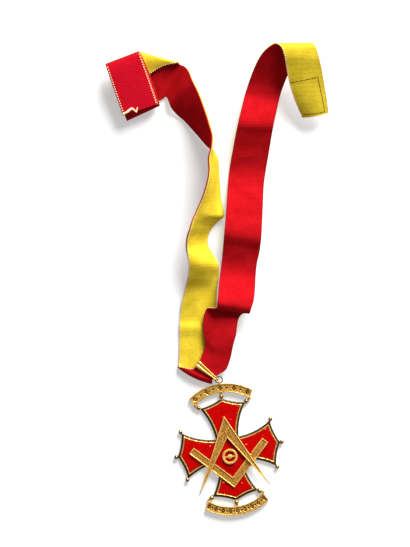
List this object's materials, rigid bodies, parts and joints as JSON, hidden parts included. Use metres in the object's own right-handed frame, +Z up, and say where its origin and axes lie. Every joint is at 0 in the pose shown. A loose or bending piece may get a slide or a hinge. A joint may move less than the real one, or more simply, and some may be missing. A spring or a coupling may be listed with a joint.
{
  "type": "order jewel on a neck ribbon",
  "caption": "Worn cross jewel in gilt metal and red enamel with a square and compasses on it, hung by a bail from a red and yellow neck ribbon that lies loosely folded, face up.",
  "frame": {"origin": "centre of the cross on its flat back, which rests on the surface", "axes": "+Z up from the surface, +Y along the laid-out ribbon from the jewel to the ribbon's free ends, +X to the right of the jewel seen face up"},
  "size_m": [0.1205, 0.2548, 0.02],
  "materials": {
    "gilt_metal": "polished, matte in the sunken grounds",
    "dark_brass": "tarnished",
    "red_enamel": "glossy vitreous enamel",
    "red_ribbon": "fine grosgrain",
    "yellow_ribbon": "fine grosgrain",
    "closure_tape": "short hooks and loops"
  },
  "bodies": {
    "root": {"cross_frame": "gilt_metal", "cross_enamel": "red_enamel", "set_square": "gilt_metal", "compasses": "gilt_metal", "annulet": "gilt_metal", "link_ring": "dark_brass", "bail": "gilt_metal", "ribbon_red": "red_ribbon", "ribbon_yellow": "yellow_ribbon", "hook_tape": "closure_tape", "loop_tape": "closure_tape"}
  },
  "joints": []
}
